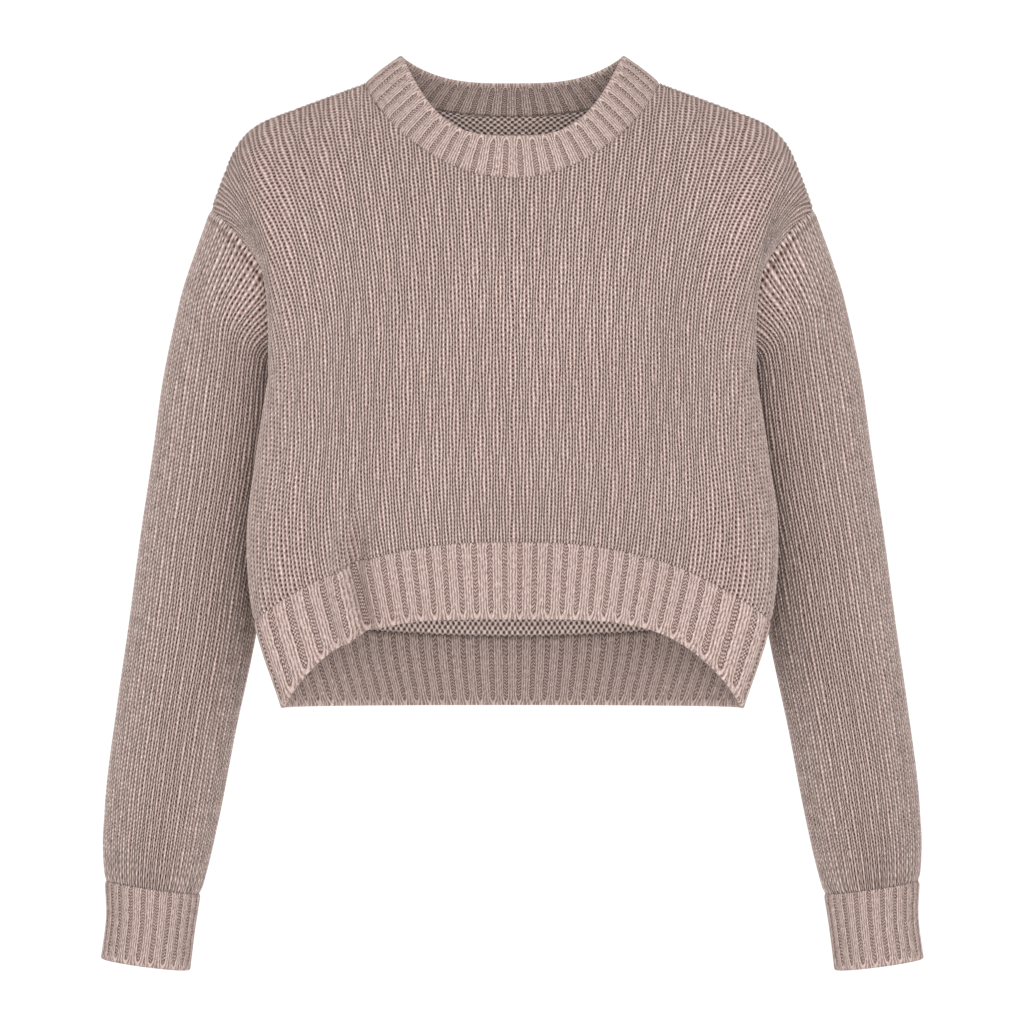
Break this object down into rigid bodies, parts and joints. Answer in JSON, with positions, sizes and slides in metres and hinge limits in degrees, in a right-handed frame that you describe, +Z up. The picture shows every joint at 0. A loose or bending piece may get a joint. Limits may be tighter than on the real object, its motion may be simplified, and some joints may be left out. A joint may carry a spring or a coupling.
{
  "type": "sweater",
  "caption": "Cropped long-sleeved knit sweater with ribbed neckband, hem and cuffs, held in its worn, filled-out form.",
  "frame": {"origin": "middle of the neck opening, level with the two high points of the shoulder seams", "axes": "+Z up as it is worn, +X towards the wearer's left, -Y out of the front"},
  "size_m": [0.5964, 0.2066, 0.6568],
  "materials": {
    "knit": "stockinette in marled dusty rose-beige wool, matt and a little hairy",
    "rib": "two-by-two ribbing in the same wool"
  },
  "bodies": {
    "root": {"front": "knit", "back": "knit", "sleeve_left": "knit", "sleeve_right": "knit", "neckband": "rib", "hem_rib_front": "rib", "hem_rib_back": "rib", "cuff_left": "rib", "cuff_right": "rib"}
  },
  "joints": []
}
